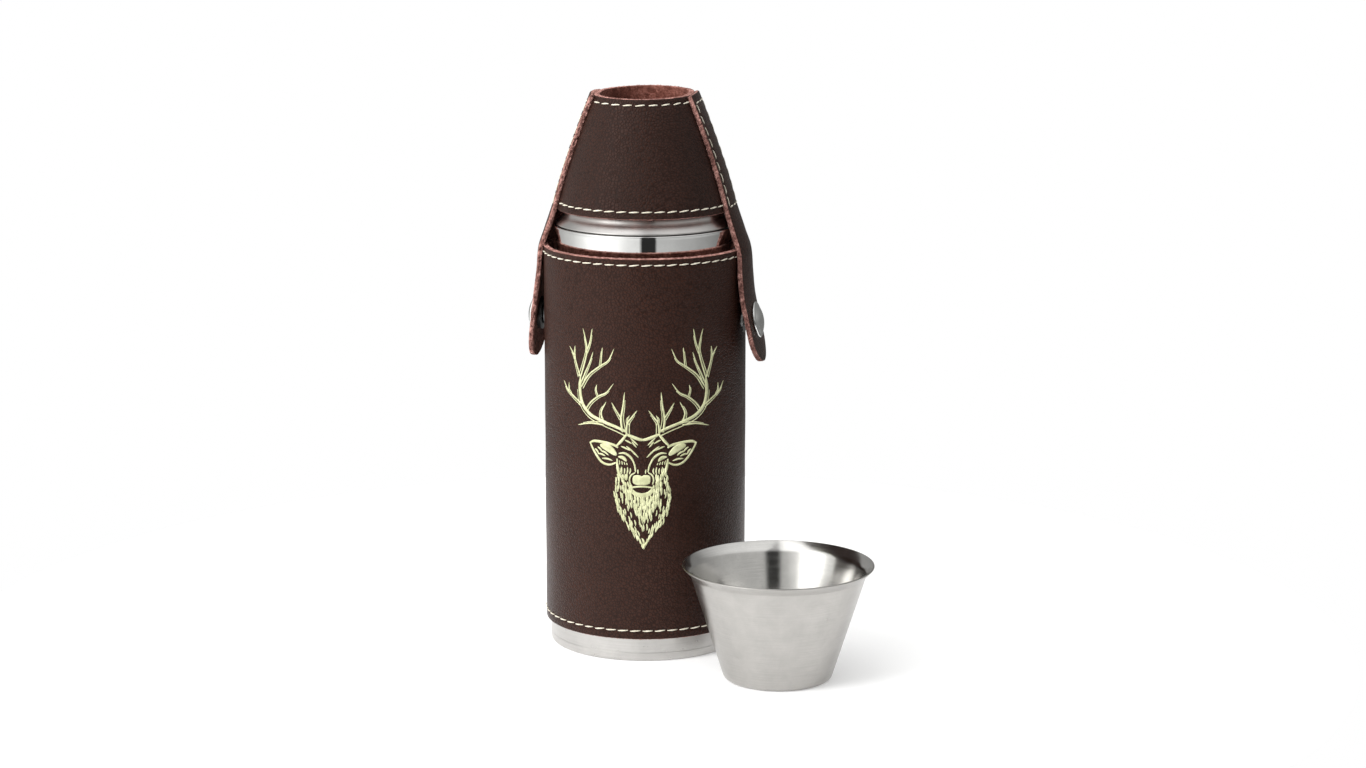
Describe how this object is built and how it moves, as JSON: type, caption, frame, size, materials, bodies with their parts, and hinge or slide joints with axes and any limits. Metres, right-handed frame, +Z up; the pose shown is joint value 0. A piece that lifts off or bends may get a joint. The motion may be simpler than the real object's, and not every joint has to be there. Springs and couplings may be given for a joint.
{
  "type": "hip flask",
  "caption": "Round hunter's flask in a stitched leather sleeve, with a screw cap, nested steel cups under a strapped leather cover, and one cup standing beside it.",
  "frame": {"origin": "centre of the flask's base, on the plane it stands on", "axes": "+Z up along the flask's own axis; -Y is the printed front of the sleeve; +X is the side where the loose cup stands"},
  "size_m": [0.0947, 0.0947, 0.1549],
  "materials": {
    "satin_steel": "brushed, satin",
    "polished_steel": "polished",
    "snap_metal": "polished",
    "brown_leather": "smooth grain, pinkish suede on its flesh side and cut edges",
    "cream_thread": "waxed thread",
    "liner_plastic": "matte",
    "foil_print": "pale gold foil print, satin",
    "gasket_rubber": "matte"
  },
  "bodies": {
    "flask": {"vessel_base": "satin_steel", "vessel_tube": "satin_steel", "shoulder": "satin_steel", "cup_seat_collar": "polished_steel", "neck": "satin_steel", "leather_sleeve": "brown_leather", "sleeve_top_thread": "cream_thread", "sleeve_bottom_thread": "cream_thread", "sleeve_back_thread": "cream_thread", "left_stud": "snap_metal", "right_stud": "snap_metal", "left_stud_rivet": "snap_metal", "right_stud_rivet": "snap_metal"},
    "gasket": {"cap_gasket": "gasket_rubber"},
    "cap": {"cap_shell": "satin_steel", "cap_thread_insert": "liner_plastic"},
    "inner_cup": {"inner_cup": "satin_steel"},
    "middle_cup": {"middle_cup": "satin_steel"},
    "outer_cup": {"outer_cup": "satin_steel"},
    "cover": {"cover_cone": "brown_leather", "cover_top_thread": "cream_thread", "cover_bottom_thread": "cream_thread", "cover_back_thread": "cream_thread", "left_strap": "brown_leather", "right_strap": "brown_leather", "left_strap_thread": "cream_thread", "right_strap_thread": "cream_thread"},
    "left_tail": {"left_strap_tail": "brown_leather", "left_snap_cap": "snap_metal", "left_snap_socket": "snap_metal"},
    "right_tail": {"right_strap_tail": "brown_leather", "right_snap_cap": "snap_metal", "right_snap_socket": "snap_metal"},
    "loose_cup": {"loose_cup": "satin_steel"}
  },
  "joints": [
    {"name": "cover_lift", "type": "slide", "parent": "flask", "child": "cover", "axis": [0, 0, 1], "range_m": [0, 0.045]},
    {"name": "right_strap_swing", "type": "hinge", "parent": "cover", "child": "right_tail", "pos_m": [0.02465, -0.00524, 0.1215], "axis": [-0.2079, -0.9781, 0], "range_deg": [0, 80]},
    {"name": "left_strap_swing", "type": "hinge", "parent": "cover", "child": "left_tail", "pos_m": [-0.02465, 0.00524, 0.1215], "axis": [0.2079, 0.9781, 0], "range_deg": [0, 80]},
    {"name": "outer_cup_lift", "type": "slide", "parent": "flask", "child": "outer_cup", "axis": [0, 0, 1], "range_m": [0, 0.034]},
    {"name": "middle_cup_lift", "type": "slide", "parent": "flask", "child": "middle_cup", "axis": [0, 0, 1], "range_m": [0, 0.023]},
    {"name": "inner_cup_lift", "type": "slide", "parent": "flask", "child": "inner_cup", "axis": [0, 0, 1], "range_m": [0, 0.0115]},
    {"name": "cap_lift", "type": "slide", "parent": "flask", "child": "gasket", "axis": [0, 0, 1], "range_m": [0, 0.0076]},
    {"name": "cap_turn", "type": "hinge", "parent": "gasket", "child": "cap", "pos_m": [0, 0, 0.1258], "axis": [0, 0, 1], "range_deg": [0, 1080]},
    {"name": "loose_cup_lift", "type": "slide", "parent": "flask", "child": "loose_cup", "axis": [0, 0, 1], "range_m": [0, 0.1]}
  ],
  "couplings": [
    {"joint": "right_strap_swing", "follows": "cover_lift", "rad_per_m": 30},
    {"joint": "left_strap_swing", "follows": "cover_lift", "rad_per_m": 30},
    {"joint": "outer_cup_lift", "follows": "cover_lift", "ratio": 0.75},
    {"joint": "middle_cup_lift", "follows": "cover_lift", "ratio": 0.5},
    {"joint": "inner_cup_lift", "follows": "cover_lift", "ratio": 0.25},
    {"joint": "cap_lift", "follows": "cap_turn", "m_per_rad": 0.00039789}
  ]
}
